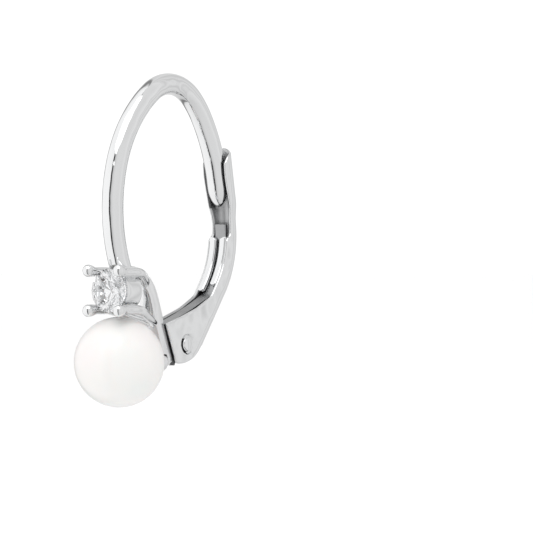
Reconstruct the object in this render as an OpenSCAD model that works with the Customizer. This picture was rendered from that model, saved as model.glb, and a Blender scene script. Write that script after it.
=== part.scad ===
// Leverback earring: ear wire, four-claw setting, pearl below it and a sprung folded lever at the back
// Origin: where the ear hole rests, inside the top of the wire. The front faces -Y and the lever is at +Y.

/* [Ear wire] */
// Diameter of the ear wire
wire_d = 1.2; // [1.0:0.05:1.25]
// Length of the pointed tip that rests in the scoop
tip_len = 1.2; // [0.8:0.1:1.6]

/* [Bar] */
// Width of the bar that sweeps down behind the setting
bar_w = 0.92; // [0.7:0.02:0.94]
// Thickness of the bar seen from the side
bar_t = 0.7; // [0.5:0.05:0.8]

/* [Setting] */
// Diameter of the stone at its girdle
stone_d = 2.44; // [2.2:0.02:2.5]
// Diameter of the four claw wires
claw_d = 0.56; // [0.4:0.02:0.6]
// Outer diameter of the ring that backs the stone
collet_d = 2.16; // [2.0:0.02:2.3]

/* [Pearl] */
// Diameter of the pearl
pearl_d = 5.0; // [4.6:0.1:5.1]
// Diameter of the peg in the pearl
peg_d = 0.7; // [0.6:0.05:0.9]
// Diameter of the dished cup behind the pearl
cup_d = 1.3; // [1.1:0.05:1.5]

/* [Lever] */
// Outer width of the folded lever at the hinge and the lips
lever_w = 1.5; // [1.46:0.02:1.6]
// Outer width of the scoop at the lever's top
scoop_w = 1.78; // [1.74:0.02:1.84]
// Thickness of the lever's sheet
sheet_t = 0.23; // [0.2:0.01:0.25]
// Width of the slit between the two folded lips
slit_w = 0.26; // [0.2:0.02:0.5]
// Width of the flat spring strip
spring_w = 0.78; // [0.7:0.02:0.9]
// Thickness of the flat spring strip
spring_t = 0.2; // [0.15:0.01:0.22]

/* [Hinge] */
// Diameter of the rivet's shank
rivet_d = 0.7; // [0.6:0.05:0.8]
// Diameter of the rivet's two heads
rivet_head_d = 0.86; // [0.8:0.02:0.92]
// Diameter of the round recess that each head lies in
recess_d = 1.1; // [1.0:0.02:1.14]

/* [Hidden] */
$fn = 48;
silver = [0.86, 0.87, 0.88];
nacre = [0.96, 0.95, 0.93];

// Gaps between separate pieces
seat_gap = 0.03;
run_gap = 0.04;
// Collar round each joint between a curved stretch and the next
collar_len = 0.1;
collar_rise = 0.003;

// The wire's arcs, each [radius, angle], counted from the top of the arch
front_arcs = [[2.7, 36], [7.5, 38], [8.8, 39]];
back_arcs = [[2.7, 44], [5.6, 14], [10.2, 23]];
wire_r = wire_d / 2;

// Places in the side plane, each [y, z]
pivot = [0.74, -13.94];
pearl_c = [-4.2, -14.87];
cup_back = -0.75;
peg_front = -3.25;
stone_c = [-5.07, -10.93];
shoulder_c = [-3.75, -12.0];
shoulder_r = 2.45 - bar_t / 2;
shoulder_end = 19;
bar_len = 3.95;

// Setting
claw_out = 1.06;
claw_z = 1.04;
claw_front = -5.46;
claw_lean = 0.12;
claw_swell = 0.08;
collet_front = -4.64;
collet_back = -3.44;
collet_bore = 1.7;
stone_r = stone_d / 2;
girdle_h = 0.08;
crown_h = 0.36;
pavilion_h = 1.02;
table_r = 0.58 * stone_r;
culet_r = 0.03;
facet_step = 0.1;
// Stays behind the claws, each from inside its claw wire to the bar, with points [x, y, z]
upper_stay = [[claw_out, -3.5, stone_c.y + claw_z], [0.2, -2.2, -10.45]];
lower_stay = [[claw_out, -3.9, stone_c.y - claw_z], [0.12, -1.35, -12.75]];
stay_d = 0.46;
stay_lap = 0.35;

// Lever: a straight run, a bend and a second straight run
bend_c = [-0.56, -7.88];
bend_r = 5.2;
low_heading = 55.5;
top_heading = 99.5;
low_len = 6.2;
top_len = 4.05;
flare_len = 0.9;
half_w = lever_w / 2;
scoop_r = scoop_w / 2;
arm = 4.4;
lip_front = 0.52;
lip_t = 0.24;
lip_proud = 0.02;
lip_top = -1.5;
lip_foot = 0.05;
spring_r = bend_r - lip_front - lip_proud + lip_t + seat_gap + spring_t / 2;
spring_top = 8;
spring_straight = 0.35;
elbow_r = 1.0;
elbow_turn = 28;
front_r = 22.6;
front_turn = 10.2;
recess_h = 0.08;
hub_r = 0.86;
lobe_r = 1.36;
head_h = 0.14;

// Point at an angle and distance from a centre
function polar(c, r, a) = c + r * [cos(a), sin(a)];
// Points along an arc, both ends included
function arc(c, r, a0, a1, n = 12) = [for (i = [0:n]) polar(c, r, a0 + (a1 - a0) * i / n)];
// Sum of the angles of the arcs before number i
function turned(arcs, i) = i == 0 ? 0 : turned(arcs, i - 1) + arcs[i - 1][1];
// Start of arc number i; side is 1 towards the back and -1 towards the front
function arc_start(arcs, side, i) = i == 0 ? [0, wire_r]
    : arc_centre(arcs, side, i - 1) + arcs[i - 1][0] * [side * sin(turned(arcs, i)), cos(turned(arcs, i))];
// Centre of arc number i
function arc_centre(arcs, side, i) = arc_start(arcs, side, i)
    - arcs[i][0] * [side * sin(turned(arcs, i)), cos(turned(arcs, i))];

// Direction of a heading, and the direction square to it that faces the back of the lever
function along(h) = [cos(h), sin(h)];
function outwards(h) = [sin(h), -cos(h)];
low_joint = polar(bend_c, bend_r, low_heading - 90);
top_joint = polar(bend_c, bend_r, top_heading - 90);

arc_steps = 7;

// Stations of the lever's channel from the hinge to the scoop: [place, heading, half width]
function lever_stations(low, top) = concat(
    [[low_joint - low_len * along(low_heading), low_heading, low]],
    [for (k = [0:arc_steps])
        let(h = low_heading + (top_heading - low_heading) * k / arc_steps)
        [polar(bend_c, bend_r, h - 90), h, low]],
    [for (d = [flare_len, top_len]) [top_joint + d * along(top_heading), top_heading, top]]);

// Draw in the side plane: local x is Y, local y is Z and local z is X
module side() rotate([90, 0, 90]) children();

// Sweep a section round a centre; the section's x is outwards and its y is across the earring
module bend(c, r, a0, a1) {
    side() translate([c.x, c.y, 0]) rotate([0, 0, a0]) rotate_extrude(angle = a1 - a0, $fn = 96)
        translate([r, 0]) children();
}

// Sweep a section in a straight line backwards from point p, along a heading
module run(p, heading, len) {
    side() translate([p.x, p.y, 0]) rotate([90, 0, heading - 90]) linear_extrude(len) children();
}

// Skin of a folded sheet through the stations. Each ring holds the [outwards, across] pairs
// of the outer face, then those of the inner face in the opposite order.
module fold(stations, rings) {
    n = len(rings[0]);
    last = len(stations) - 1;
    points = [for (i = [0:last], p = rings[i])
        let(place = stations[i][0] + p.x * outwards(stations[i][1])) [p.y, place.x, place.y]];
    polyhedron(points, concat(
        [for (j = [0:n / 2 - 2]) [n - 1 - j, n - 2 - j, j + 1, j]],
        [for (j = [0:n / 2 - 2]) let(k = last * n) [k + j, k + j + 1, k + n - 2 - j, k + n - 1 - j]],
        [for (i = [0:last - 1], j = [0:n - 1])
            each let(a = i * n + j, b = i * n + (j + 1) % n)
                [[a, b, a + n], [b, b + n, a + n]]]), convexity = 6);
}

// Round rod between two points
module rod(a, b, d) {
    v = b - a;
    len = norm(v);
    translate(a) rotate([0, acos(v.z / len), atan2(v.y, v.x)]) cylinder(h = len, d = d);
}

// Rounded rectangle, x by y
module soft_rect(x, y, r) {
    square([x - 2 * r, y], center = true);
    square([x, y - 2 * r], center = true);
    for (i = [-1, 1], j = [-1, 1])
        translate([i * (x / 2 - r), j * (y / 2 - r)]) circle(r = r);
}

// One side of the ear wire, arc by arc, with a hair-thin collar round each joint
module wire_side(arcs, side) {
    for (i = [0:len(arcs) - 1]) {
        from = 90 - side * turned(arcs, i);
        to = 90 - side * turned(arcs, i + 1);
        joint = arc_start(arcs, side, i + 1);
        bend(arc_centre(arcs, side, i), arcs[i][0], min(from, to), max(from, to)) circle(r = wire_r);
        collar(joint, -side * turned(arcs, i + 1));
    }
}

module collar(place, heading) {
    run(place + collar_len / 2 * along(heading), heading, collar_len) circle(r = wire_r + collar_rise);
}

// Ear wire with its pointed end
module ear_wire() {
    end_angle = turned(back_arcs, len(back_arcs));
    end = arc_start(back_arcs, 1, len(back_arcs));
    wire_side(front_arcs, -1);
    wire_side(back_arcs, 1);
    collar([0, wire_r], 0);
    run(end + 0.01 * along(-end_angle), -end_angle, 0.02) circle(r = wire_r - 0.01);
    side() translate([end.x, end.y, 0]) rotate([0, 0, 90 - end_angle]) rotate([90, 0, 0])
        rotate_extrude() polygon(concat([[0, 0]], [for (a = [0:11.25:90]) [wire_r * cos(a), tip_len * sin(a)]]));
}

// Bar: shoulder arc behind the setting, then straight down past the pearl
module bar() {
    end = polar(shoulder_c, shoulder_r, shoulder_end);
    foot = end + bar_len * [sin(shoulder_end), -cos(shoulder_end)];
    bend(shoulder_c, shoulder_r, shoulder_end, 100) soft_rect(bar_t, bar_w, 0.25);
    run(end, 90 + shoulder_end, bar_len) soft_rect(bar_t, bar_w, 0.25);
    run(end + collar_len / 2 * along(90 + shoulder_end), 90 + shoulder_end, collar_len)
        soft_rect(bar_t + 2 * collar_rise, bar_w + 2 * collar_rise, 0.25);
    side() translate([foot.x, foot.y, 0]) cylinder(h = bar_w - 0.3, d = bar_t - 0.02, center = true);
}

// Claws, the ring behind the stone, and the rails that carry it on the bar
module setting() {
    for (x = [-1, 1], z = [-1, 1]) {
        root = [x * claw_out, claw_front, stone_c.y + z * claw_z];
        for (k = [-0.5, 0.5])
            translate(root + k * claw_lean * [x, 0, z]) sphere(d = claw_d + claw_swell);
        stay = [for (p = z > 0 ? upper_stay : lower_stay) [x * p.x, p.y, p.z]];
        rod(root, stay[0] + [0, stay_lap, 0], claw_d);
        rod(stay[0], stay[1], stay_d);
    }
    translate([0, collet_back, stone_c.y]) rotate([90, 0, 0]) difference() {
        cylinder(h = collet_back - collet_front, d = collet_d);
        translate([0, 0, -1]) cylinder(h = 4, d = collet_bore);
    }
    translate([0, -3.95, stone_c.y + 0.98]) cube([2 * claw_out, 1.1, 0.42], center = true);
}

// Room for the stone, a little larger than it
module stone_room() {
    translate([0, stone_c.x, stone_c.y]) rotate([90, 0, 0]) rotate_extrude() polygon([
        [0, -pavilion_h - seat_gap], [stone_r + seat_gap, -girdle_h], [stone_r + seat_gap, girdle_h],
        [table_r + seat_gap, crown_h + seat_gap], [0, crown_h + seat_gap]]);
}

// Dished cup and peg behind the pearl
module cup() {
    difference() {
        translate([0, cup_back, pearl_c.y]) rotate([90, 0, 0]) cylinder(h = 1.3, d = cup_d);
        translate([0, pearl_c.x, pearl_c.y]) sphere(r = pearl_d / 2 + seat_gap, $fn = 96);
    }
    translate([0, cup_back, pearl_c.y]) rotate([90, 0, 0]) cylinder(h = cup_back - peg_front, d = peg_d);
}

// Flat tab that the lever's cheeks close over
module tab() {
    w = lever_w - 2 * sheet_t - 2 * run_gap;
    side() linear_extrude(w, center = true) {
        translate(pivot) circle(r = hub_r);
        polygon(concat(arc(pivot, lobe_r, 112, 150, 6),
            [[-1.2, -12.95], [-0.78, -14.6], [-0.62, -15.2], [-0.4, -15.3], [-0.05, -15.18]],
            arc(pivot, hub_r, 228, 300, 6), arc(pivot, hub_r, 60, 80, 3)));
    }
}

module frame() {
    color(silver) difference() {
        union() {
            ear_wire();
            bar();
            setting();
            cup();
            tab();
        }
        stone_room();
        side() translate([pivot.x, pivot.y, 0]) cylinder(h = 4, d = rivet_d + 2 * seat_gap, center = true);
    }
}

// Brilliant: table, eight-sided crown, girdle and pointed pavilion
module stone() {
    star_r = 0.82 * stone_r;
    color([0.97, 0.98, 1]) translate([0, stone_c.x, stone_c.y]) rotate([90, 0, 0]) hull() {
        linear_extrude(crown_h) rotate(22.5) circle(r = table_r, $fn = 8);
        linear_extrude(0.62 * crown_h) circle(r = star_r, $fn = 8);
        translate([0, 0, -girdle_h / 2]) linear_extrude(girdle_h) rotate(11.25) circle(r = stone_r, $fn = 16);
        translate([0, 0, -0.78 * pavilion_h]) linear_extrude(facet_step)
            rotate(22.5) circle(r = 0.24 * stone_r, $fn = 8);
        translate([0, 0, -pavilion_h]) linear_extrude(facet_step) circle(r = culet_r, $fn = 8);
    }
}

module pearl() {
    hole_d = peg_d + 2 * run_gap;
    color(nacre) difference() {
        translate([0, pearl_c.x, pearl_c.y]) sphere(d = pearl_d, $fn = 96);
        translate([0, 0, pearl_c.y]) rotate([90, 0, 0]) cylinder(h = 3.4, d = hole_d);
    }
}

// The lever's folded channel, round to the back and open to the front
module channel() {
    stations = lever_stations(half_w, scoop_r);
    fold(stations, [for (s = stations) concat([[-arm, -s[2]]],
        [for (a = [-90:15:90]) s[2] * [cos(a), sin(a)]], [[-arm, s[2]], [-arm, s[2] - sheet_t]],
        [for (a = [90:-15:-90]) (s[2] - sheet_t) * [cos(a), sin(a)]], [[-arm, sheet_t - s[2]]])]);
}

// Side outline of the lever
module lever_outline() {
    lip_r = bend_r - lip_front;
    chin_c = [0.1, -12.7];
    polygon(concat(
        [[-1.01, -12.76], [0.3, -12.37], [1.6, -11.91], [2.82, -11.25]],
        arc(bend_c, lip_r, low_heading - 90, lip_top, 14),
        [[4.43, -7.9], [4.46, -7.3], [4.38, -6.6], [4.2, -5.85], [4.0, -5.1], [3.86, -4.5], [3.8, -3.9]],
        [[3.8, -2.9], [6.5, -2.9], [6.5, -9], [4.2, -12.4], [2.6, -13.7]],
        arc(chin_c, 2.32, -34, -88, 8),
        arc([0.04, -14.72], 0.3, -92, -165, 4)));
}

// Two folded lips over the spring
module lips() {
    lip_w = half_w - 0.1 - slit_w / 2;
    for (s = [-1, 1])
        side() translate([0, 0, s * (slit_w / 2 + lip_w / 2)]) linear_extrude(lip_w, center = true)
            strip(bend_r - lip_front - lip_proud + lip_t / 2, lip_t, lip_top, lip_foot);
}

// Side outline of a strip that follows the bend up to an angle, with a straight foot below it
module strip(r, t, top_angle, foot) {
    from = low_heading - 90;
    toe = polar(bend_c, r, from) - foot * along(low_heading);
    polygon(concat([toe - t / 2 * outwards(low_heading)], arc(bend_c, r - t / 2, from, top_angle),
        arc(bend_c, r + t / 2, top_angle, from), [toe + t / 2 * outwards(low_heading)]));
}

// Cuts the scoop's top to an arch
module scoop_arch() {
    top = top_joint + top_len * [cos(top_heading), sin(top_heading)];
    side() translate([top.x, top.y, 0]) rotate([0, 0, top_heading - 90]) difference() {
        translate([-3, -1, -2]) cube([6, 3, 4]);
        translate([0, -1.05, 0]) rotate([0, 90, 0]) cylinder(h = 8, r = 1.05, center = true);
        translate([-4, -3, -2]) cube([8, 2, 4]);
    }
}

module lever() {
    color(silver) difference() {
        union() {
            difference() {
                intersection() {
                    channel();
                    side() linear_extrude(4, center = true) lever_outline();
                }
                scoop_arch();
            }
            lips();
        }
        side() translate([pivot.x, pivot.y, 0]) {
            cylinder(h = 4, d = rivet_d + 2 * run_gap, center = true);
            for (s = [0, 180])
                rotate([s, 0, 0]) translate([0, 0, half_w - recess_h]) cylinder(h = 1, d = recess_d);
        }
    }
}

// Flat spring: a front stretch over the tab, an elbow, then up under the lips
module spring() {
    knee_heading = low_heading - elbow_turn;
    elbow_c = polar(bend_c, spring_r - elbow_r, low_heading - 90) - spring_straight * along(low_heading);
    front_c = polar(elbow_c, elbow_r - front_r, knee_heading - 90);
    halves = [-spring_t / 2, spring_t / 2];
    color([0.8, 0.81, 0.82]) side() linear_extrude(spring_w, center = true) polygon(concat(
        arc(front_c, front_r + halves[1], knee_heading - 90 - front_turn, knee_heading - 90, 6),
        arc(elbow_c, elbow_r + halves[1], knee_heading - 85, low_heading - 90, 6),
        arc(bend_c, spring_r + halves[1], low_heading - 90, spring_top),
        arc(bend_c, spring_r + halves[0], spring_top, low_heading - 90),
        arc(elbow_c, elbow_r + halves[0], low_heading - 90, knee_heading - 85, 6),
        arc(front_c, front_r + halves[0], knee_heading - 90, knee_heading - 90 - front_turn, 6)));
}

module rivet() {
    color(silver) side() translate([pivot.x, pivot.y, 0]) {
        cylinder(h = lever_w, d = rivet_d, center = true);
        for (s = [0, 180])
            rotate([s, 0, 0]) translate([0, 0, half_w - recess_h + seat_gap])
                cylinder(h = head_h, d = rivet_head_d);
    }
}

frame();
stone();
pearl();
lever();
spring();
rivet();
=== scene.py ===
import bpy
import numpy as np
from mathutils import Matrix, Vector


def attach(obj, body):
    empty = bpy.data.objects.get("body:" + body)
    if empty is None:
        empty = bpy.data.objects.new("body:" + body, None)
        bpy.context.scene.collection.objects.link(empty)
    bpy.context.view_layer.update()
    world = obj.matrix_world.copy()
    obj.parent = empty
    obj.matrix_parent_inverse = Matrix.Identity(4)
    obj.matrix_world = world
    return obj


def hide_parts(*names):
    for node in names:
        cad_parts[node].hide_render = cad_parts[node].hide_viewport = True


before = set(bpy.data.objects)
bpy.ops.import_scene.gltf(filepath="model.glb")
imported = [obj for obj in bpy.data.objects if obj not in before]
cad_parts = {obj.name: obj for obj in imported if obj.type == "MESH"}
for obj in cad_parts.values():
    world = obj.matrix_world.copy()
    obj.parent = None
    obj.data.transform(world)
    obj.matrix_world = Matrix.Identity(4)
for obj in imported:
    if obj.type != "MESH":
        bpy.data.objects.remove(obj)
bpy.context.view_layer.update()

mm = 0.001               # every size below is in millimetres; meshes are written in metres
fixedBody, swingBody = "earring", "lever"


# Paths, profiles and skins
# Unit direction (y, z) of a heading in the side plane
def direction(heading):
    a = np.radians(np.asarray(heading, float))
    return np.stack([np.cos(a), np.sin(a)], -1)


def polar(centre, radius, angle):
    return np.asarray(centre, float) + radius * direction(angle)


# 0 below low, 1 above high, and the cubic 3x^2 - 2x^3 between them
def smoothStep(value, low, high):
    x = np.clip((value - low) / (high - low), 0, 1)
    return x * x * (3 - 2 * x)


# Centre line in the side plane, leg by leg: (radius, turn in degrees), or (0, length) for a straight leg
def followLegs(start, heading, legs, step=0.04):
    points, headings = [np.array([start], float)], [np.array([heading], float)]
    for radius, amount in legs:
        here, now = points[-1][-1], headings[-1][-1]
        reach = amount if radius == 0 else abs(np.radians(amount)) * radius
        part = np.linspace(0, 1, max(3, int(np.ceil(reach / step))) + 1)[1:]
        if radius == 0:
            points.append(here + (part * amount)[:, None] * direction(now))
            headings.append(np.full(len(part), now))
        else:
            side = np.sign(amount)
            centre = here + side * radius * direction(now + 90)
            points.append(centre - side * radius * direction(now + part * amount + 90))
            headings.append(now + part * amount)
    return np.concatenate(points), np.concatenate(headings)


# Smooth line through 3-D points: cubic Hermite pieces with Catmull-Rom tangents
def smoothLine(points, count=14):
    p = np.asarray(points, float)
    tangent = np.gradient(p, axis=0)
    t = np.linspace(0, 1, count, endpoint=False)[None, :, None]
    a, b, ta, tb = p[:-1, None], p[1:, None], tangent[:-1, None], tangent[1:, None]
    line = (2*t**3 - 3*t**2 + 1)*a + (t**3 - 2*t**2 + t)*ta + (3*t**2 - 2*t**3)*b + (t**3 - t**2)*tb
    return np.concatenate([line.reshape(-1, p.shape[1]), p[-1:]])


# Distance along a line of points, from its start
def runLength(points):
    return np.concatenate([[0], np.cumsum(np.linalg.norm(np.diff(points, axis=0), axis=1))])


# Rows along a length, set close together where an end is rounded: d = r (1 - cos u)
def rowPlaces(total, startRound, endRound, step):
    u = np.linspace(0.05, np.pi / 2, 10)
    start = startRound * (1 - np.cos(u)) if startRound else np.array([0.0])
    end = total - (endRound * (1 - np.cos(u)))[::-1] if endRound else np.array([total])
    between = np.linspace(start[-1], end[0], max(2, int((end[0] - start[-1]) / step)) + 1)[1:-1]
    return np.concatenate([start, between, end])


# Share of the full section at each row: sqrt(1 - (1 - d/r)^2) near a rounded end, 1 elsewhere
def endShare(places, total, startRound, endRound):
    share = np.ones_like(places)
    for d, r in ((places, startRound), (total - places, endRound)):
        if r:
            share *= np.sqrt(1 - (1 - np.clip(d / r, 0, 1))**2)
    return share


# Rounded section |x/a|^p + |y/b|^p = 1, as points (x, y) counted once round
def softSection(width, height, power=2.0, count=48):
    a = np.linspace(0, 2 * np.pi, count, endpoint=False)
    c, s = np.cos(a), np.sin(a)
    return np.stack([width / 2 * np.sign(c) * np.abs(c)**(2 / power),
                     height / 2 * np.sign(s) * np.abs(s)**(2 / power)], -1)


# Carry a section along a line in the side plane: its x points to the left of the heading, its y across
def sweepSide(points, headings, section, share):
    left = direction(headings + 90)
    s = section[None] * share[:, None, None]
    place = points[:, None] + s[..., :1] * left[:, None]
    return np.concatenate([s[..., 1:], place], -1)


# Same along legs, with the rows set out anew so that the ends can be rounded
def sweepLegs(start, heading, legs, section, startRound=0.0, endRound=0.0, step=0.1):
    points, headings = followLegs(start, heading, legs)
    length = runLength(points)
    places = rowPlaces(length[-1], startRound, endRound, step)
    share = endShare(places, length[-1], startRound, endRound)
    line = np.stack([np.interp(places, length, points[:, k]) for k in (0, 1)], -1)
    return sweepSide(line, np.interp(places, length, headings), section, share)


# Round wire along a 3-D line: centre + r (cos a U + sin a V), U and V square to the line;
# radius is a number or a function of the share of the way along
def wireRings(line, radius, startRound, endRound, step=0.07, count=32):
    length = runLength(line)
    places = rowPlaces(length[-1], startRound, endRound, step)
    p = np.stack([np.interp(places, length, line[:, k]) for k in range(3)], -1)
    t = np.gradient(p, places, axis=0)
    t /= np.linalg.norm(t, axis=1)[:, None]
    u = np.cross(t, [0, 0, 1.0])
    u /= np.linalg.norm(u, axis=1)[:, None]
    v = np.cross(t, u)
    r = radius(places / length[-1]) if callable(radius) else radius
    r = r * endShare(places, length[-1], startRound, endRound)
    a = np.linspace(0, 2 * np.pi, count, endpoint=False)[None, :, None]
    return p[:, None] + r[:, None, None] * (np.cos(a) * u[:, None] + np.sin(a) * v[:, None])


# Turned shape about an axis A: a profile (along, radius) carried round,
# place = centre + along A + radius (cos a U + sin a V)
def turnedRings(centre, axis, profile, count=96):
    a = np.asarray(axis, float) / np.linalg.norm(axis)
    u = np.cross(a, [0, 0, 1.0] if abs(a[2]) < 0.9 else [1.0, 0, 0])
    u /= np.linalg.norm(u)
    v = np.cross(a, u)
    w = np.linspace(0, 2 * np.pi, count, endpoint=False)[None, :, None]
    profile = np.asarray(profile, float)
    return (np.asarray(centre, float) + profile[:, None, :1] * a
            + profile[:, None, 1:] * (np.cos(w) * u + np.sin(w) * v))


# Signed volume of a closed skin; negative when its faces point inwards
def signedVolume(points, quads, fans):
    tris = np.concatenate([quads[:, [0, 1, 2]], quads[:, [0, 2, 3]], fans.reshape(-1, 3)])
    a, b, c = (points[tris[:, k]] for k in range(3))
    return np.einsum("ij,ij->i", a, np.cross(b, c)).sum() / 6


noFans = np.zeros((0, 3), int)


# One mesh of four-sided and three-sided faces, turned outwards, that rides a body and stands for CAD nodes
def writeMesh(name, points, quads, fans, material, body, nodes, smooth=True):
    if signedVolume(points, quads, fans) < 0:
        quads, fans = quads[:, ::-1], fans[:, ::-1]
    mesh = bpy.data.meshes.new(name)
    mesh.from_pydata((points * mm).tolist(), [], quads.tolist() + fans.tolist())
    mesh.polygons.foreach_set("use_smooth", np.full(len(mesh.polygons), smooth))
    mesh.materials.append(material)
    mesh.update()
    piece = bpy.data.objects.new(name, mesh)
    bpy.context.scene.collection.objects.link(piece)
    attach(piece, body)
    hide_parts(*nodes)
    return piece


# Further materials for a piece; index holds, face by face, 0 for its own one and k for the kth of the others
def shareMaterials(piece, others, index):
    for material in others:
        piece.data.materials.append(material)
    piece.data.polygons.foreach_set("material_index", np.asarray(index).astype(int))


# Middles of a piece's faces, in millimetres
def faceMiddles(piece):
    middles = np.empty(len(piece.data.polygons) * 3)
    piece.data.polygons.foreach_get("center", middles)
    return middles.reshape(-1, 3) / mm


# Faces between neighbouring points of a grid of indices
def gridFaces(ids, around=False):
    nxt = np.roll(ids, -1, axis=1) if around else ids[:, 1:]
    now = ids if around else ids[:, :-1]
    return np.stack([now[:-1], nxt[:-1], nxt[1:], now[1:]], -1).reshape(-1, 4)


# Closed skin of rings, each end closed with a fan round its middle
def skin(name, rings, material, body, nodes):
    n, m = rings.shape[:2]
    points = np.concatenate([rings.reshape(-1, 3), rings[:1].mean(1), rings[-1:].mean(1)])
    ids = np.arange(n * m).reshape(n, m)
    now, nxt = np.arange(m), np.roll(np.arange(m), -1)
    first = np.stack([nxt, now, np.full(m, n * m)], -1)
    last = np.stack([now, nxt, np.full(m, n * m + 1)], -1) + [(n - 1) * m, (n - 1) * m, 0]
    return writeMesh(name, points, gridFaces(ids, True), np.concatenate([first, last]), material, body,
                     nodes)


# Plate of an outline (y, z) with eased edges: loops from one face round the rim to the other
def plateRings(outline, halfWidth, ease, turns=5):
    o = np.asarray(outline, float)
    gone = np.roll(o, -1, axis=0) - np.roll(o, 1, axis=0)
    normal = np.stack([gone[:, 1], -gone[:, 0]], -1) / np.linalg.norm(gone, axis=1)[:, None]
    u = np.linspace(0, np.pi / 2, turns)
    inset = np.concatenate([ease * (1 - np.sin(u)), (ease * (1 - np.sin(u)))[::-1]])
    across = np.concatenate([-halfWidth + ease * (1 - np.cos(u)), (halfWidth - ease * (1 - np.cos(u)))[::-1]])
    place = o[None] - inset[:, None, None] * normal[None]
    return np.concatenate([np.broadcast_to(across[:, None, None], place.shape[:2] + (1,)), place], -1)


# Materials
def newGroup(name, inputs, outputs):
    group = bpy.data.node_groups.new(name, "ShaderNodeTree")
    for label, kind, value in inputs:
        group.interface.new_socket(label, in_out="INPUT", socket_type=kind).default_value = value
    for label, kind in outputs:
        group.interface.new_socket(label, in_out="OUTPUT", socket_type=kind)
    return group, group.nodes.new("NodeGroupInput"), group.nodes.new("NodeGroupOutput")


def node(tree, kind, **settings):
    made = tree.nodes.new(kind)
    for label, value in settings.items():
        if label in made.inputs:
            made.inputs[label].default_value = value
        else:
            setattr(made, label, value)
    return made


polish = {"waves": 750.0, "clouds": 900.0,                        # noise scales, per metre
          "markScale": (9000.0, 700.0, 2600.0), "markTurn": (0.5, 0.2, 0.7),
          "waveStrength": 0.4, "waveHeight": 0.0002, "markHeight": 0.00002}


# Polish: faint cloudy haze, fine wipe marks drawn out along one direction, and slow waves from hand finishing
def buildPolishGroup():
    group, given, out = newGroup("polishMarks",
        [("Roughness", "NodeSocketFloat", 0.08), ("Haze", "NodeSocketFloat", 0.05),
         ("Grain", "NodeSocketFloat", 0.02)],
        [("Roughness", "NodeSocketFloat"), ("Height", "NodeSocketFloat"), ("Waves", "NodeSocketFloat")])
    coord = node(group, "ShaderNodeTexCoord")
    waves = node(group, "ShaderNodeTexNoise", Scale=polish["waves"], Detail=1.0, Roughness=0.4)
    cloud = node(group, "ShaderNodeTexNoise", Scale=polish["clouds"], Detail=3.0, Roughness=0.6)
    turned = node(group, "ShaderNodeMapping")
    turned.inputs["Rotation"].default_value = polish["markTurn"]
    turned.inputs["Scale"].default_value = polish["markScale"]
    marks = node(group, "ShaderNodeTexNoise", Scale=1.0, Detail=4.0, Roughness=0.7)
    hazeTimes = node(group, "ShaderNodeMath", operation="MULTIPLY")
    grainTimes = node(group, "ShaderNodeMath", operation="MULTIPLY")
    both = node(group, "ShaderNodeMath", operation="ADD")
    total = node(group, "ShaderNodeMath", operation="ADD", use_clamp=True)
    link = group.links.new
    link(coord.outputs["Object"], cloud.inputs["Vector"])
    link(coord.outputs["Object"], waves.inputs["Vector"])
    link(waves.outputs["Fac"], out.inputs["Waves"])
    link(coord.outputs["Object"], turned.inputs["Vector"])
    link(turned.outputs["Vector"], marks.inputs["Vector"])
    link(cloud.outputs["Fac"], hazeTimes.inputs[0])
    link(given.outputs["Haze"], hazeTimes.inputs[1])
    link(marks.outputs["Fac"], grainTimes.inputs[0])
    link(given.outputs["Grain"], grainTimes.inputs[1])
    link(hazeTimes.outputs[0], both.inputs[0])
    link(grainTimes.outputs[0], both.inputs[1])
    link(both.outputs[0], total.inputs[0])
    link(given.outputs["Roughness"], total.inputs[1])
    link(total.outputs[0], out.inputs["Roughness"])
    link(marks.outputs["Fac"], out.inputs["Height"])
    return group


polishGroup = buildPolishGroup()


def newMaterial(name):
    material = bpy.data.materials.new(name)
    material.use_nodes = True
    return material, material.node_tree, material.node_tree.nodes["Principled BSDF"]


# Metal with the polish group's haze and wipe marks, its waves first and the marks on top of them
def buildMetal(name, color, roughness, haze, grain, bump):
    material, tree, shader = newMaterial(name)
    shader.inputs["Base Color"].default_value = (*color, 1)
    shader.inputs["Metallic"].default_value = 1.0
    marks = node(tree, "ShaderNodeGroup", node_tree=polishGroup)
    marks.inputs["Roughness"].default_value = roughness
    marks.inputs["Haze"].default_value = haze
    marks.inputs["Grain"].default_value = grain
    slow = node(tree, "ShaderNodeBump", Strength=polish["waveStrength"], Distance=polish["waveHeight"])
    relief = node(tree, "ShaderNodeBump", Strength=bump, Distance=polish["markHeight"])
    tree.links.new(marks.outputs["Roughness"], shader.inputs["Roughness"])
    tree.links.new(marks.outputs["Waves"], slow.inputs["Height"])
    tree.links.new(slow.outputs["Normal"], relief.inputs["Normal"])
    tree.links.new(marks.outputs["Height"], relief.inputs["Height"])
    tree.links.new(relief.outputs["Normal"], shader.inputs["Normal"])
    return material


nacreLook = {
    "cream": (0.80, 0.785, 0.77, 1), "rose": (0.79, 0.755, 0.75, 1), "green": (0.76, 0.77, 0.755, 1),
    "clouds": 320.0, "skin": 5200.0, "roseSpan": (0.5, 0.72), "greenSpan": (0.5, 0.3),
    "skinStrength": 0.08, "skinHeight": 0.00002, "roughness": 0.34, "sheen": 0.12,
    "depth": 0.25, "depthRadius": (0.0008, 0.0006, 0.0005), "coat": 0.45, "coatRoughness": 0.16,
}


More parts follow.
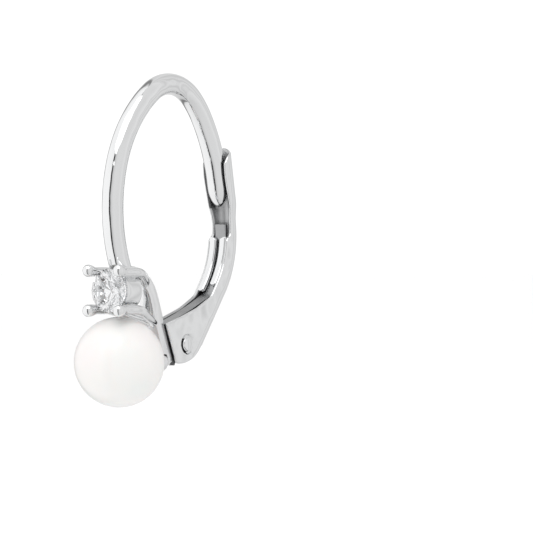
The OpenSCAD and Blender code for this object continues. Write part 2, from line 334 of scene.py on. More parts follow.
# Nacre: cream body with slow pink and green clouds, and a soft skin under a clear coat
def buildNacre():
    look = nacreLook
    group, given, out = newGroup("nacreClouds",
        [("Cream", "NodeSocketColor", look["cream"]), ("Rose", "NodeSocketColor", look["rose"]),
         ("Green", "NodeSocketColor", look["green"])],
        [("Color", "NodeSocketColor"), ("Height", "NodeSocketFloat")])
    coord = node(group, "ShaderNodeTexCoord")
    slow = node(group, "ShaderNodeTexNoise", Scale=look["clouds"], Detail=1.0, Roughness=0.4)
    fine = node(group, "ShaderNodeTexNoise", Scale=look["skin"], Detail=3.0, Roughness=0.55)
    roseRamp = node(group, "ShaderNodeMapRange")
    roseRamp.inputs["From Min"].default_value, roseRamp.inputs["From Max"].default_value = look["roseSpan"]
    greenRamp = node(group, "ShaderNodeMapRange")
    greenRamp.inputs["From Min"].default_value, greenRamp.inputs["From Max"].default_value = look["greenSpan"]
    first = node(group, "ShaderNodeMix", data_type="RGBA")
    second = node(group, "ShaderNodeMix", data_type="RGBA")
    link = group.links.new
    link(coord.outputs["Object"], slow.inputs["Vector"])
    link(coord.outputs["Object"], fine.inputs["Vector"])
    link(slow.outputs["Fac"], roseRamp.inputs["Value"])
    link(slow.outputs["Fac"], greenRamp.inputs["Value"])
    link(roseRamp.outputs["Result"], first.inputs["Factor"])
    link(given.outputs["Cream"], first.inputs[6])
    link(given.outputs["Rose"], first.inputs[7])
    link(greenRamp.outputs["Result"], second.inputs["Factor"])
    link(first.outputs[2], second.inputs[6])
    link(given.outputs["Green"], second.inputs[7])
    link(second.outputs[2], out.inputs["Color"])
    link(fine.outputs["Fac"], out.inputs["Height"])
    material, tree, shader = newMaterial("nacre")
    clouds = node(tree, "ShaderNodeGroup", node_tree=group)
    relief = node(tree, "ShaderNodeBump", Strength=look["skinStrength"], Distance=look["skinHeight"])
    tree.links.new(clouds.outputs["Color"], shader.inputs["Base Color"])
    tree.links.new(clouds.outputs["Height"], relief.inputs["Height"])
    tree.links.new(relief.outputs["Normal"], shader.inputs["Normal"])
    for label, value in (("Roughness", look["roughness"]), ("Subsurface Weight", look["depth"]),
                         ("Subsurface Radius", look["depthRadius"]), ("Subsurface Scale", 1.0),
                         ("Coat Weight", look["coat"]), ("Coat Roughness", look["coatRoughness"]),
                         ("Sheen Weight", look["sheen"])):
        shader.inputs[label].default_value = value
    return material


gemLook = {"color": (0.985, 0.99, 1.0, 1), "bending": 1.9, "haze": 0.015}


# Cut stone: clear, strongly bending, with a breath of haze from its polish
def buildGem():
    material, tree, shader = newMaterial("cutStone")
    shader.inputs["Base Color"].default_value = gemLook["color"]
    shader.inputs["Transmission Weight"].default_value = 1.0
    shader.inputs["IOR"].default_value = gemLook["bending"]
    marks = node(tree, "ShaderNodeGroup", node_tree=polishGroup)
    marks.inputs["Roughness"].default_value = 0.0
    marks.inputs["Haze"].default_value = gemLook["haze"]
    marks.inputs["Grain"].default_value = 0.0
    tree.links.new(marks.outputs["Roughness"], shader.inputs["Roughness"])
    return material


# Colour, roughness, haze, grain, relief of the wipe marks
whiteMetal = buildMetal("whiteMetal", (0.84, 0.845, 0.85), 0.03, 0.03, 0.02, 0.08)    # polished outsides
shadedSpringMetal = buildMetal("shadedSpringMetal", (0.39, 0.395, 0.40), 0.2, 0.05, 0.12, 0.35)   # the spring's faces, darkened as painted shade between the cheeks
innerShadeMetal = buildMetal("innerShadeMetal", (0.56, 0.565, 0.57), 0.22, 0.1, 0.2, 0.5)       # inside of the fold, darkened as painted shade
greyShadeMetal = buildMetal("greyShadeMetal", (0.16, 0.162, 0.165), 0.35, 0.1, 0.2, 0.5)      # painted shade, for the tab in its gap and the hollow by the wire's tip
blackShadeMetal = buildMetal("blackShadeMetal", (0.035, 0.035, 0.037), 0.35, 0.1, 0.2, 0.5)     # painted shadow in narrow gaps and grooves
nacre = buildNacre()
gem = buildGem()
print("materials ready")


# Ear wire
wire = {
    "radius": 0.6,
    "frontLegs": [(2.7, 36), (7.5, 38), (8.8, 39)],      # from the arch's top down to the setting
    "backLegs": [(2.7, -44), (5.6, -14), (10.2, -23)],   # from the arch's top down to the scoop
    "tipLength": 1.2, "around": 64, "step": 0.09,
}


def buildWire():
    front, frontHeading = followLegs((0, wire["radius"]), 180, wire["frontLegs"])
    back, backHeading = followLegs((0, wire["radius"]), 0, wire["backLegs"] + [(0, wire["tipLength"])])
    points = np.concatenate([front[::-1], back[1:]])
    headings = np.concatenate([frontHeading[::-1] - 180, backHeading[1:]])
    length = runLength(points)
    places = rowPlaces(length[-1], 0.0, wire["tipLength"], wire["step"])
    share = endShare(places, length[-1], 0.0, wire["tipLength"])
    line = np.stack([np.interp(places, length, points[:, k]) for k in (0, 1)], -1)
    section = softSection(2 * wire["radius"], 2 * wire["radius"], 2.0, wire["around"])
    rings = sweepSide(line, np.interp(places, length, headings), section, share)
    skin("earWire", rings, whiteMetal, fixedBody, ["frame"])


buildWire()


# Bar behind the setting, with its foot
bar = {"centre": (-3.75, -12.0), "radius": 2.1, "fromAngle": 102, "toAngle": 19, "straight": 3.75,
       "thickness": 0.7, "width": 0.96, "power": 7.0, "topRound": 0.12, "footRound": 0.35}


def buildBar():
    start = polar(bar["centre"], bar["radius"], bar["fromAngle"])
    legs = [(bar["radius"], bar["toAngle"] - bar["fromAngle"]), (0, bar["straight"] + bar["thickness"] / 2)]
    section = softSection(bar["thickness"], bar["width"], bar["power"], 64)
    rings = sweepLegs(start, bar["fromAngle"] - 90, legs, section, bar["topRound"], bar["footRound"], 0.07)
    skin("bar", rings, whiteMetal, fixedBody, ["frame"])


buildBar()


# Hinge tab, coloured dark grey as painted shade in the gap between the cheeks
pivot = np.array([0.74, -13.94])
tab = {"halfWidth": 0.455, "ease": 0.06,
       "lobe": 1.36, "lobeTurn": (112, 150), "hub": 0.86, "hubTurn": (228, 440),       # arcs about the pivot
       "front": [[-0.75, -13.3], [-0.42, -14.6], [-0.25, -15.08], [-0.05, -15.12]]}


def buildTab():
    outline = np.concatenate([polar(pivot, tab["lobe"], np.linspace(*tab["lobeTurn"], 12)), tab["front"],
                              polar(pivot, tab["hub"], np.linspace(*tab["hubTurn"], 40))])
    rings = plateRings(outline, tab["halfWidth"], tab["ease"])
    skin("hingeTab", rings, greyShadeMetal, fixedBody, ["frame"])


buildTab()


# Setting: claws with their stays, the ring behind the stone, the bridge
setting = {
    "stone": (-5.07, -10.93),       # y, z of the girdle's middle
    "out": 1.06, "up": 1.04, "lean": 0.06,
    "nubFront": -5.78, "nubRadius": 0.345, "nubRound": 0.3, "clawRadius": 0.27, "stayRadius": 0.235,
    "clawBack": (-5.45, -5.0, -4.4),
    # each stay's way to the bar: across, y, and height above the claw
    "upperStay": [(1.06, -3.8, -0.03), (0.93, -3.3, -0.14), (0.6, -2.7, -0.41), (0.28, -2.3, -0.69)],
    "lowerStay": [(1.06, -3.95, 0.0), (0.98, -3.35, -0.13), (0.62, -2.4, -0.48), (0.2, -1.5, -0.78)],
    "ringFront": -4.64, "ringBack": -3.44, "ringOuter": 1.08, "ringInner": 0.85, "ringPower": 5.0,
    "bridge": -3.95, "bridgeUp": 0.98, "bridgeRadius": 0.26, "bridgeDepth": 2.0,
}


# Radius along a claw, t being the share of the way: swollen nub, claw, then the slimmer stay
def clawRadius(t):
    nub, claw, stay = setting["nubRadius"], setting["clawRadius"], setting["stayRadius"]
    return claw + (nub - claw) * (1 - smoothStep(t, 0.08, 0.2)) + (stay - claw) * smoothStep(t, 0.45, 0.7)


def buildClaw(label, x, up):
    cx, cz = x * setting["out"], setting["stone"][1] + up * setting["up"]
    lean, (nubBack, *straight) = setting["lean"], setting["clawBack"]
    front = [[cx + x * lean, y, cz + up * lean] for y in (setting["nubFront"], nubBack)]
    stay = setting["upperStay" if up > 0 else "lowerStay"]
    back = [[cx, y, cz] for y in straight] + [[x * across, y, cz + dz] for across, y, dz in stay]
    rings = wireRings(smoothLine(front + back), clawRadius, setting["nubRound"], 0.05)
    skin("claw" + label, rings, whiteMetal, fixedBody, ["frame"])


# Ring behind the stone: a rounded wall, turned about the stone's axis
def buildStoneRing():
    front, back, outer, inner = (setting["ring" + k] for k in ("Front", "Back", "Outer", "Inner"))
    wall = softSection(back - front, outer - inner, setting["ringPower"], 48)
    wall = wall + [(back + front) / 2, (outer + inner) / 2]
    rings = turnedRings((0, 0, setting["stone"][1]), (0, 1, 0), wall)
    ids = np.arange(rings[..., 0].size).reshape(rings.shape[:2])
    faces = gridFaces(np.concatenate([ids, ids[:1]]), True)
    writeMesh("stoneRing", rings.reshape(-1, 3), faces, noFans, whiteMetal, fixedBody, ["frame"])


# Rail across the claws, drawn out in depth about its own middle
def buildBridge():
    y, z = setting["bridge"], setting["stone"][1] + setting["bridgeUp"]
    line = np.array([[x, y, z] for x in np.linspace(-setting["out"], setting["out"], 12)])
    rings = wireRings(line, setting["bridgeRadius"], 0.1, 0.1)
    rings[..., 1] = y + (rings[..., 1] - y) * setting["bridgeDepth"]
    skin("bridge", rings, whiteMetal, fixedBody, ["frame"])


for label, x, up in (("UpperNear", 1, 1), ("UpperFar", -1, 1), ("LowerNear", 1, -1), ("LowerFar", -1, -1)):
    buildClaw(label, x, up)
buildStoneRing()
buildBridge()


# Pearl with its cup and peg
pearl = {"centre": (0, -4.2, -14.87), "radius": 2.5, "hole": 0.375, "holeDepth": 0.9, "mouthEase": 0.015,
         "cupBack": -0.75, "cupRadius": 0.62, "cupHollow": 2.53,
         "peg": 0.35, "pegFront": -3.2, "pegEase": 0.07}


def buildPearl():
    r, hole, ease = pearl["radius"], pearl["hole"], pearl["mouthEase"]
    turn = np.linspace(0.012, np.pi - np.arcsin((hole + ease) / r), 110)
    ball = np.stack([-r * np.cos(turn), r * np.sin(turn)], -1)      # from the front pole to the hole's mouth
    mouth = ball[-1, 0]
    drill = np.array([[mouth - 0.02, hole], [mouth - pearl["holeDepth"], hole]])
    rings = turnedRings(pearl["centre"], (0, 1, 0), np.concatenate([ball, drill]), 128)
    skin("pearl", rings, nacre, fixedBody, ["pearl"])


# Cup and peg in one turned profile (y, radius): the peg, the cup's hollow, its eased rim and its back
def buildCup():
    back, r, hollow, peg, front = (pearl[k] for k in ("cupBack", "cupRadius", "cupHollow", "peg", "pegFront"))
    middle = pearl["centre"][1]
    dish = [(middle + np.sqrt(hollow**2 - d * d), d) for d in np.linspace(peg + 0.01, r - 0.05, 12)]
    rim = dish[-1][0]
    wall = [(rim + 0.02, r - 0.015), (rim + 0.06, r),
            (back - 0.06, r), (back - 0.02, r - 0.02), (back, r - 0.06)]
    pin = [(front, peg - pearl["pegEase"]), (front + 0.06, peg), (dish[0][0] - 0.01, peg)]
    rings = turnedRings((0, 0, pearl["centre"][2]), (0, 1, 0), np.array(pin + dish + wall), 96)
    skin("pearlCup", rings, whiteMetal, fixedBody, ["frame"])


buildPearl()
buildCup()


# Stone: round brilliant; star and half are its corners above and below the girdle, as shares of the sizes
stone = {"radius": 1.22, "table": 0.58, "crown": 0.36, "pavilion": 1.02, "girdle": 0.04,
         "starHeight": 0.58, "starReach": 0.80, "halfDepth": 0.80, "halfReach": 0.27}


# Ring of the stone's corners, at a height towards the front
def cornerRing(height, radius, turn):
    y, z = setting["stone"]
    return np.stack([radius * np.cos(turn), np.full(len(turn), y - height), z + radius * np.sin(turn)], -1)


def buildStone():
    r = stone["radius"]
    step, rimStep = np.arange(8) * np.pi / 4, np.arange(16) * np.pi / 8
    table = cornerRing(stone["crown"], stone["table"] * r, step)
    star = cornerRing(stone["starHeight"] * stone["crown"], stone["starReach"] * r, step + np.pi / 8)
    upper = cornerRing(stone["girdle"], r, rimStep)
    lower = cornerRing(-stone["girdle"], r, rimStep)
    half = cornerRing(-stone["halfDepth"] * stone["pavilion"], stone["halfReach"] * r, step + np.pi / 8)
    culet = cornerRing(-stone["pavilion"], 0.0, step[:1])
    points = np.concatenate([table, star, upper, lower, half, culet])
    t, s, u, l, h, c = 0, 8, 16, 32, 48, 56        # where each ring starts among the points
    k = np.arange(8)
    n = (k + 1) % 8
    kites = np.stack([t + n, s + k, u + 2 * k + 2 - 16 * (k == 7), s + n], -1)
    stars = np.stack([t + k, s + k, t + n], -1)
    girdleHalves = np.concatenate([np.stack([s + k, u + 2 * k, u + 2 * k + 1], -1),
                                   np.stack([s + k, u + 2 * k + 1, u + (2 * k + 2) % 16], -1)])
    j = np.arange(16)
    girdle = np.stack([u + j, l + j, l + (j + 1) % 16, u + (j + 1) % 16], -1)
    lowerHalves = np.concatenate([np.stack([h + k, l + 2 * k + 1, l + 2 * k], -1),
                                  np.stack([h + k, l + (2 * k + 2) % 16, l + 2 * k + 1], -1)])
    mains = np.stack([c + 0 * k, h + k, l + (2 * k + 2) % 16, h + n], -1)
    tableFan = np.stack([t + 0 * k[1:7], t + k[1:7], t + n[1:7]], -1)
    fans = np.concatenate([stars, girdleHalves, lowerHalves, tableFan])
    quads = np.concatenate([kites, girdle, mains])
    writeMesh("stone", points, quads, fans, gem, fixedBody, ["stone"], smooth=False)


buildStone()
print("front pieces ready")


# Lever: one folded sheet, with the sizes of its rivet
# The sheet is laid out flat as (s, q): s runs along the channel's axis, 0 where the bend starts, and q is the
# way across from the middle of the back. Folded, q turns round the back by q / mid, then runs down the arm.
lever = {
    "bendCentre": np.array([-0.56, -7.88]), "bendRadius": 5.2, "lowHeading": 55.5, "topHeading": 99.5,
    "topLength": 4.05, "flareLength": 0.9, "halfWidth": 0.75, "scoopHalf": 0.89, "sheet": 0.23,
    "edgeRound": 0.11, "archRadius": 1.05, "rimDrop": 0.35,
    # free edge in the side view, foot to top: points, an arc about the bend's centre (radius, angles), points
    "edgeLow": [[-1.01, -12.76], [0.3, -12.37], [1.6, -11.91], [2.82, -11.25]],
    "edgeArc": (4.68, -32, -1.5),
    "edgeTop": [[4.43, -7.9], [4.46, -7.3], [4.38, -6.6], [4.2, -5.85], [4.0, -5.1], [3.86, -4.5],
                [3.8, -3.9], [3.8, -2.6]],
    # foot in the side view, back to front: points, two arcs (centre, radius, angles), and the straight front
    "chinBack": [[3.0, -13.37], [2.6, -13.7]],
    "chinArc": ((0.1, -12.7), 2.32, -36, -86), "chinTip": ((0.04, -14.72), 0.3, -92, -165),
    "chinFront": [[-0.29, -14.6], [-0.97, -12.9]],
    "recess": 0.55, "recessEase": 0.02, "recessDepth": 0.15,
    "wireShadeFrom": 0.6, "wireShadeLevel": -6.3,        # the painted shade inside, by the wire's tip, starts this far across and above this level
    "columns": 81, "footRows": 92, "bodyRows": 96, "topRows": 22, "lowRow": -0.9, "highRow": 1.5,
}
rivet = {"shank": 0.35, "head": 0.43, "low": 0.62, "high": 0.84, "dome": 0.05, "rim": 0.07,
         "grooveShadeTurn": 200, "grooveShadeFrom": 0.14}      # its groove and the heads' flanks are painted dark as shade this far from the middle, on this side
bendLength = lever["bendRadius"] * np.radians(lever["topHeading"] - lever["lowHeading"])
leverTop = bendLength + lever["topLength"]


def leverAxis(s):
    inBend = np.clip(s, 0, bendLength)
    heading = lever["lowHeading"] + np.degrees(inBend / lever["bendRadius"])
    on = polar(lever["bendCentre"], lever["bendRadius"], heading - 90)
    return on + (s - inBend)[..., None] * direction(heading), heading


def leverMid(s):
    grown = smoothStep(s, bendLength - 0.2, bendLength + lever["flareLength"] + 0.2)
    return lever["halfWidth"] + (lever["scoopHalf"] - lever["halfWidth"]) * grown - lever["sheet"] / 2


def foldedSheet(s, q, depth):
    centre, heading = leverAxis(s)
    mid = leverMid(s)
    turn = np.clip(np.abs(q) / mid, 0, np.pi / 2)
    arm = np.abs(q) - mid * turn
    outward = (mid + depth) * np.cos(turn) - arm
    across = np.sign(q) * (mid + depth) * np.sin(turn)
    place = centre + outward[..., None] * direction(heading - 90)
    return np.concatenate([across[..., None], place], -1)


# Places of the side view (y, z) as (s, t): t is the way in from the axis, towards the ear
def sheetSpot(points):
    p = np.asarray(points, float)
    joints, headings = leverAxis(np.array([0.0, bendLength]))
    low = (p - joints[0]) @ direction(headings[0]), -(p - joints[0]) @ direction(headings[0] - 90)
    top = (p - joints[1]) @ direction(headings[1]), -(p - joints[1]) @ direction(headings[1] - 90)
    rel = p - lever["bendCentre"]
    angle = np.degrees(np.arctan2(rel[:, 1], rel[:, 0]))
    s = lever["bendRadius"] * np.radians(angle - lever["lowHeading"] + 90)
    t = lever["bendRadius"] - np.linalg.norm(rel, axis=1)
    s, t = np.where(low[0] < 0, low[0], s), np.where(low[0] < 0, low[1], t)
    return np.where(top[0] > 0, bendLength + top[0], s), np.where(top[0] > 0, top[1], t)


# The way across the sheet for a depth t at s: round the back while t < 0, down the arm after it
def acrossFor(s, t):
    mid = leverMid(s)
    onBack = mid * np.arccos(np.clip(-t / mid, 0, 1))
    return np.where(t < 0, onBack, mid * np.pi / 2 + t)


def evenLine(points, share):
    length = runLength(points)
    return np.stack([np.interp(share * length[-1], length, points[:, k]) for k in range(points.shape[1])], -1)


# Free edge as depths t along s, smoothed with a short bell-shaped window
def leverEdge():
    radius, low, high = lever["edgeArc"]
    arc = polar(lever["bendCentre"], radius, np.linspace(low, high, 14))
    s, t = sheetSpot(np.concatenate([lever["edgeLow"], arc, lever["edgeTop"]]))
    fine = np.linspace(s[0], leverTop + 0.3, 400)
    bell = np.hanning(21) / np.hanning(21).sum()
    depth = np.pad(np.interp(fine, s, t), 10, mode="reflect", reflect_type="odd")
    return fine, np.convolve(depth, bell, mode="valid")


# Foot's line on the flat sheet, from the middle of the back to the free edge's first spot
def leverFoot(lastSpot):
    arcs = [polar(centre, radius, np.linspace(low, high, count)) for (centre, radius, low, high), count
            in ((lever["chinArc"], 20), (lever["chinTip"], 8))]
    front = evenLine(np.array(lever["chinFront"]), np.linspace(0, 1, 8))
    s, t = sheetSpot(np.concatenate([lever["chinBack"], *arcs, front, lever["edgeLow"][:1]]))
    mid = leverMid(np.array(0.0))
    keep = t > -mid
    firstS = np.interp(-mid, t[:4], s[:4])
    across = acrossFor(np.append(0.0, s[keep]), np.append(-mid, t[keep]))
    foot = np.stack([np.append(firstS, s[keep]), across], -1)
    foot[-1] = lastSpot
    return foot


# Half of the flat sheet as a grid of (s, q): rows from the foot to the top, columns from the back to the edge
def flatHalf():
    fineS, fineT = leverEdge()
    edgeOf = lambda s: acrossFor(s, np.interp(s, fineS, fineT))
    foot = leverFoot((fineS[0], edgeOf(fineS[:1])[0]))
    x = np.linspace(0, 1, lever["columns"])
    a = 0.25 * x + 0.75 * np.sin(x * np.pi / 2)         # columns closer together at the edge
    lowRow, highRow = lever["lowRow"], leverTop - lever["highRow"]
    # foot: a Coons patch between the chin's line, the first straight row, the back's middle and the free edge
    v = np.linspace(0, 1, lever["footRows"])[:, None, None]**1.6
    w = a[None, :, None]
    bottom = evenLine(foot, a)[None]
    row = np.stack([np.full_like(a, lowRow), a * edgeOf(np.array([lowRow]))], -1)[None]
    inner = (1 - v) * bottom[:, :1] + v * row[:, :1]
    edgeRun = np.linspace(fineS[0], lowRow, 200)
    outer = evenLine(np.stack([edgeRun, edgeOf(edgeRun)], -1), v[:, 0, 0])[:, None]
    corners = ((1 - w) * (1 - v) * bottom[:, :1] + w * (1 - v) * bottom[:, -1:] + (1 - w) * v * row[:, :1]
               + w * v * row[:, -1:])
    footPart = (1 - v) * bottom + v * row + (1 - w) * inner + w * outer - corners
    # body: rows square to the axis
    s = np.linspace(lowRow, highRow, lever["bodyRows"])[1:, None]
    bodyPart = np.stack([s + 0 * a, a * edgeOf(s)], -1)
    # top: rows run up to the arch s = top - R + sqrt(R^2 - x^2), which drops at the front rims
    q = a * edgeOf(np.array([leverTop - 0.5]))
    reach = leverMid(np.array(leverTop))
    side = reach * np.sin(np.clip(q / reach, 0, np.pi / 2))
    arch = leverTop - lever["archRadius"] + np.sqrt(lever["archRadius"]**2 - side**2)
    arch = arch - lever["rimDrop"] * smoothStep(q, q[-1] - 0.45, q[-1])**2
    up = np.sin(np.linspace(0, np.pi / 2, lever["topRows"] + 1))[1:, None]
    s = highRow + up * (arch - highRow)
    topPart = np.stack([s, a * edgeOf(s)], -1)
    return np.concatenate([footPart, bodyPart, topPart])


# Half thickness of the sheet at each spot: a half round along the border, full inside it
def sheetWall(half):
    border = np.concatenate([evenLine(line, np.linspace(0, 1, count)) for line, count
                             in ((half[0], 500), (half[:, -1], 700), (half[-1], 160))])
    gap = np.stack([np.linalg.norm(r[:, None] - border[None], axis=-1).min(1) for r in half])
    gap[0], gap[-1], gap[:, -1] = 0, 0, 0
    return lever["sheet"] / 2 * np.sqrt(1 - (1 - np.clip(gap / lever["edgeRound"], 0, 1))**2)


# True for spots on the side of the groove round the rivet that is painted dark as shade
def onShadedSide(spots):
    return (spots[:, 1:] - pivot) @ direction(rivet["grooveShadeTurn"]) > rivet["grooveShadeFrom"]


def buildLever():
    half = flatHalf()
    mirrored = lambda f, sign=1: np.concatenate([sign * f[:, :0:-1], f], 1)
    s, q, wall = mirrored(half[..., 0]), mirrored(half[..., 1], -1), mirrored(sheetWall(half))
    fromPivot = np.linalg.norm(foldedSheet(s, q, np.zeros_like(s))[..., 1:] - pivot, axis=-1)
    rim, ease = lever["recess"], lever["recessEase"]
    sunk = lever["recessDepth"] * (1 - smoothStep(fromPivot, rim - ease, rim + ease))
    outside, inside = foldedSheet(s, q, wall - sunk), foldedSheet(s, q, -wall)
    n, m = s.shape
    ids = np.arange(n * m).reshape(n, m)
    innerIds = ids.copy()                               # the two faces share their border
    innerIds[1:-1, 1:-1] = n * m + np.arange((n - 2) * (m - 2)).reshape(n - 2, m - 2)
    points = np.concatenate([outside.reshape(-1, 3), inside[1:-1, 1:-1].reshape(-1, 3)])
    faces = np.concatenate([gridFaces(ids), gridFaces(innerIds)[:, ::-1]])
    sheet = writeMesh("leverSheet", points, faces, noFans, whiteMetal, swingBody, ["lever"])
    middle = faceMiddles(sheet)
    away, across = np.linalg.norm(middle[:, 1:] - pivot, axis=1), np.abs(middle[:, 0])
    # inner faces take the darkened inside metal, painted shade within the fold
    within = np.arange(len(faces)) >= len(faces) // 2
    # the groove's faces on the shaded side are painted dark as shadow
    groove = (away > rivet["head"] - 0.03) & (away < rim + ease) & (across > 0.56) & onShadedSide(middle)
    wireShadeMask = (across > lever["wireShadeFrom"]) & (middle[:, 2] > lever["wireShadeLevel"])      # painted shade by the wire's tip
    index = np.where(within, np.where(wireShadeMask, 3, 1), np.where(groove, 2, 0))
    shareMaterials(sheet, (innerShadeMetal, blackShadeMetal, greyShadeMetal), index)


buildLever()


# Folded lips, spring and rivet
lips = {"radius": 4.77, "footNear": 0.1, "footFar": 0.5, "topAngle": -1.5, "thickness": 0.25, "power": 3.2,
        "slit": 0.26, "outer": 0.585, "ear": 0.16, "earRun": 0.35, "footRound": 0.12, "topRound": 0.1}
spring = {"radius": 5.03, "topAngle": 8, "straight": 0.35, "elbow": (1.0, 28), "front": (22.6, 10.2),
          "width": 0.78, "thickness": 0.2, "power": 6.0, "endRound": 0.05, "sideShadeBelow": -10.3}


def buildLips():
    low = lever["lowHeading"] - 90
    width = lips["outer"] - lips["slit"] / 2
    section = softSection(lips["thickness"], width, lips["power"], 40)
    for label, side in (("Near", 1), ("Far", -1)):
        foot = lips["foot" + label]
        start = polar(lever["bendCentre"], lips["radius"], low) - foot * direction(lever["lowHeading"])
        legs = [(0, foot), (lips["radius"], lips["topAngle"] - low)]
        rounds = lips["footRound"], lips["topRound"]
        rings = sweepLegs(start, lever["lowHeading"], legs, section, *rounds, 0.06)
        rings[..., 0] += side * (lips["slit"] / 2 + width / 2)
        # the top end rises towards the cheek, so that the two lips meet in a V
        outer = (side * rings[..., 0] - lips["slit"] / 2) / width
        top = rings[-1, :, 2].mean()
        rise = smoothStep(rings[..., 2].mean(1), top - lips["earRun"], top)
        rings[..., 2] += lips["ear"] * outer * rise[:, None]
        skin("lip" + label, rings, whiteMetal, swingBody, ["lever"])


# Strip from the lips down to the tab; its sides are painted dark as shadow in the narrow gap beside the
# cheeks
def buildSpring():
    angle, (elbow, elbowTurn), (front, frontTurn) = spring["topAngle"], spring["elbow"], spring["front"]
    legs = [(spring["radius"], lever["lowHeading"] - 90 - angle), (0, spring["straight"]),
            (elbow, -elbowTurn), (front, -frontTurn)]
    section = softSection(spring["thickness"], spring["width"], spring["power"], 48)
    start = polar(lever["bendCentre"], spring["radius"], angle)
    rings = sweepLegs(start, angle - 90, legs, section, spring["endRound"], spring["endRound"], 0.06)
    # the spring's dark grey colour is painted shade from the cheeks on either side
    piece = skin("spring", rings, shadedSpringMetal, swingBody, ["spring"])
    middle = faceMiddles(piece)
    # sides low down, in the gap beside the cheeks, take painted shadow
    shadedSides = (np.abs(middle[:, 0]) > spring["width"] / 2 - 0.02) & (middle[:, 2] < spring["sideShadeBelow"])
    shareMaterials(piece, (blackShadeMetal,), shadedSides)


# Shank and two heads in one turned profile (across, radius): each head a low dome with a rounded rim
def buildRivet():
    low, high, head, dome, rim = (rivet[k] for k in ("low", "high", "head", "dome", "rim"))
    base = high - dome
    top = [(base + dome * np.cos(x), (head - rim) * np.sin(x)) for x in np.linspace(0.08, np.pi / 2, 8)]
    edge = [(base - rim * np.sin(x), head - rim * np.cos(x)) for x in np.linspace(0.3, np.pi / 2, 5)]
    near = np.array(top + edge + [(low, head), (low - 0.02, rivet["shank"])])
    rings = turnedRings((0, *pivot), (1, 0, 0), np.concatenate([near, near[::-1] * [-1, 1]]), 72)
    piece = skin("rivet", rings, whiteMetal, fixedBody, ["rivet"])
    # the heads' flanks on the shaded side are painted dark as shadow
    middle = faceMiddles(piece)
    flank = np.linalg.norm(middle[:, 1:] - pivot, axis=1) > head - 0.02
    shareMaterials(piece, (blackShadeMetal,), onShadedSide(middle) & flank & (np.abs(middle[:, 0]) < high - 0.04))


buildLips()
buildSpring()
buildRivet()
print("back pieces ready")


# Studio: the view the picture is taken from, in pixels of a square image, with the origin's place in it
studio = {"azimuth": 40.0, "lens": 300.0, "sensor": 36.0,
          "pixelsPerMm": 17.9, "zeroColumn": 169.34, "zeroRow": 94.74, "imageSide": 533.0}
paper = {"level": -24.0, "rings": (20, 60, 200, 1500, 9000), "around": 96, "color": (0.97, 0.97, 0.97, 1),
         "roughness": 0.9, "grain": 400.0, "grainStrength": 0.05, "grainHeight": 0.0001}


def buildFloor():
    turn = np.linspace(0, 2 * np.pi, paper["around"], endpoint=False)
    reach = np.array(paper["rings"], float)[:, None]
    ids = np.arange(reach.size * turn.size).reshape(reach.size, turn.size)
    points = np.stack([reach * np.cos(turn), reach * np.sin(turn), np.full(ids.shape, paper["level"])], -1)
    faces = gridFaces(ids, True)[:, ::-1].tolist() + [ids[0].tolist()]
    mesh = bpy.data.meshes.new("floor")
    mesh.from_pydata((points.reshape(-1, 3) * mm).tolist(), [], faces)
    material, tree, shader = newMaterial("paper")
    shader.inputs["Base Color"].default_value = paper["color"]
    shader.inputs["Roughness"].default_value = paper["roughness"]
    grain = node(tree, "ShaderNodeTexNoise", Scale=paper["grain"], Detail=3.0)
    relief = node(tree, "ShaderNodeBump", Strength=paper["grainStrength"], Distance=paper["grainHeight"])
    coord = node(tree, "ShaderNodeTexCoord")
    tree.links.new(coord.outputs["Object"], grain.inputs["Vector"])
    tree.links.new(grain.outputs["Fac"], relief.inputs["Height"])
    tree.links.new(relief.outputs["Normal"], shader.inputs["Normal"])
    # reflections look through the paper to the room
    path = node(tree, "ShaderNodeLightPath")
    either = node(tree, "ShaderNodeMath", operation="MAXIMUM")
    clear = node(tree, "ShaderNodeBsdfTransparent")
    mix = node(tree, "ShaderNodeMixShader")
    tree.links.new(path.outputs["Is Glossy Ray"], either.inputs[0])
    tree.links.new(path.outputs["Is Transmission Ray"], either.inputs[1])
    tree.links.new(either.outputs[0], mix.inputs["Fac"])
    tree.links.new(shader.outputs["BSDF"], mix.inputs[1])
    tree.links.new(clear.outputs["BSDF"], mix.inputs[2])
    tree.links.new(mix.outputs["Shader"], tree.nodes["Material Output"].inputs["Surface"])
    mesh.materials.append(material)
    floor = bpy.data.objects.new("floor", mesh)
    bpy.context.scene.collection.objects.link(floor)


# White room; only reflections and the stone see its grey walls and the dark gaps between the lamps
room = {
    "strength": 1.08,
    # (angle, grey level): round the room with 0 at the viewer and 90 to the right, and from below to above
    "roundStops": [(-180, 0.72), (-166, 0.68), (-157, 0.25), (-150, 0.25), (-142, 0.85), (-122, 1.0),
                   (-44, 0.98), (-39, 0.80), (-37, 0.0), (-28, 0.0), (-20, 0.55), (-8, 0.70), (10, 0.76),
                   (60, 0.74), (86, 0.80), (93, 0.66), (100, 0.78), (107, 0.62), (116, 0.76), (150, 0.62),
                   (168, 0.76), (180, 0.72)],
    "heightStops": [(-90, 0.85), (-40, 0.95), (-8, 1.0), (18, 1.0), (38, 0.96), (62, 1.0), (90, 1.0)],
    "stoneShare": 0.55,          # how far the rays that leave the stone see the room as plain white
}


# Grey level for a value between low and high, with the stops' places brought to the value's scale
def levelRamp(tree, value, low, high, stops, scale):
    span = node(tree, "ShaderNodeMapRange")
    span.inputs["From Min"].default_value, span.inputs["From Max"].default_value = low, high
    ramp = node(tree, "ShaderNodeValToRGB")
    ramp.color_ramp.elements.remove(ramp.color_ramp.elements[1])
    for k, (place, level) in enumerate(stops):
        at = (scale(place) - low) / (high - low)
        spot = ramp.color_ramp.elements[0] if k == 0 else ramp.color_ramp.elements.new(at)
        spot.position = at
        spot.color = (level, level, level, 1)
    tree.links.new(value, span.inputs["Value"])
    tree.links.new(span.outputs["Result"], ramp.inputs["Fac"])
    return ramp.outputs["Color"]


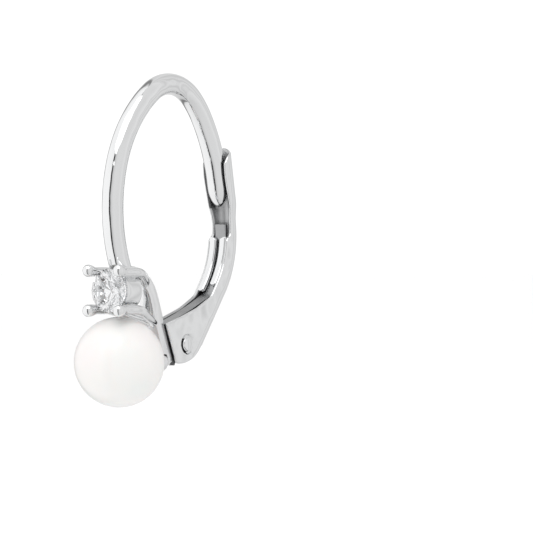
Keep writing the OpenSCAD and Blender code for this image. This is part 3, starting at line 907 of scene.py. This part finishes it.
def buildWorld():
    world = bpy.data.worlds.new("studioWorld")
    bpy.context.scene.world = world
    world.use_nodes = True
    tree = world.node_tree
    tree.nodes.clear()
    a = np.radians(studio["azimuth"])
    coord = node(tree, "ShaderNodeTexCoord")
    link = tree.links.new
    dots = []
    for way in ((np.sin(a), -np.cos(a), 0), (np.cos(a), np.sin(a), 0), (0, 0, 1)):
        dots.append(node(tree, "ShaderNodeVectorMath", operation="DOT_PRODUCT"))
        dots[-1].inputs[1].default_value = way
        link(coord.outputs["Generated"], dots[-1].inputs[0])
    towards, sideways, upwards = dots
    around = node(tree, "ShaderNodeMath", operation="ARCTAN2")
    link(sideways.outputs["Value"], around.inputs[0])
    link(towards.outputs["Value"], around.inputs[1])
    times = node(tree, "ShaderNodeMix", data_type="RGBA", blend_type="MULTIPLY")
    times.inputs["Factor"].default_value = 1.0
    link(levelRamp(tree, around.outputs[0], -np.pi, np.pi, room["roundStops"], np.radians), times.inputs[6])
    link(levelRamp(tree, upwards.outputs["Value"], -1.0, 1.0, room["heightStops"],
                   lambda d: np.sin(np.radians(d))), times.inputs[7])
    path = node(tree, "ShaderNodeLightPath")
    plain = node(tree, "ShaderNodeMath", operation="MAXIMUM")
    through = node(tree, "ShaderNodeMath", operation="MULTIPLY_ADD")
    through.inputs[1].default_value = room["stoneShare"]
    pick = node(tree, "ShaderNodeMix", data_type="RGBA")
    pick.inputs[7].default_value = (1, 1, 1, 1)
    background = node(tree, "ShaderNodeBackground")
    background.inputs["Strength"].default_value = room["strength"]
    out = node(tree, "ShaderNodeOutputWorld")
    link(path.outputs["Is Camera Ray"], plain.inputs[0])
    link(path.outputs["Is Diffuse Ray"], plain.inputs[1])
    link(path.outputs["Is Transmission Ray"], through.inputs[0])
    link(plain.outputs[0], through.inputs[2])
    link(through.outputs[0], pick.inputs["Factor"])
    link(times.outputs[2], pick.inputs[6])
    link(pick.outputs[2], background.inputs["Color"])
    link(background.outputs["Background"], out.inputs["Surface"])


# Sizes and places in metres, power in watts
lamp = {"size": 0.2, "power": 0.12, "place": (0.033, -0.123, 0.166), "aim": (0, 0, -0.01)}


def buildLights():
    data = bpy.data.lights.new("softKey", "AREA")
    data.shape, data.size, data.energy = "DISK", lamp["size"], lamp["power"]
    key = bpy.data.objects.new("softKey", data)
    bpy.context.scene.collection.objects.link(key)
    key.location = lamp["place"]
    key.rotation_euler = (Vector(lamp["aim"]) - key.location).to_track_quat("-Z", "Y").to_euler()


def buildCamera():
    a = np.radians(studio["azimuth"])
    right, back = Vector((np.cos(a), np.sin(a), 0)), Vector((np.sin(a), -np.cos(a), 0))
    across = (studio["imageSide"] / 2 - studio["zeroColumn"]) / studio["pixelsPerMm"]
    height = (studio["zeroRow"] - studio["imageSide"] / 2) / studio["pixelsPerMm"]
    aim = right * across + Vector((0, 0, height))
    data = bpy.data.cameras.new("camera")
    data.lens, data.sensor_width = studio["lens"], studio["sensor"]
    distance = studio["lens"] * studio["imageSide"] / studio["pixelsPerMm"] / studio["sensor"]
    data.clip_start, data.clip_end = 0.01, 10.0
    camera = bpy.data.objects.new("camera", data)
    bpy.context.scene.collection.objects.link(camera)
    camera.location = (aim + back * distance) * mm
    camera.rotation_euler = back.to_track_quat("Z", "Y").to_euler()
    bpy.context.scene.camera = camera


buildFloor()
buildWorld()
buildLights()
buildCamera()
bpy.context.scene.view_settings.view_transform = "Standard"
print("studio ready")
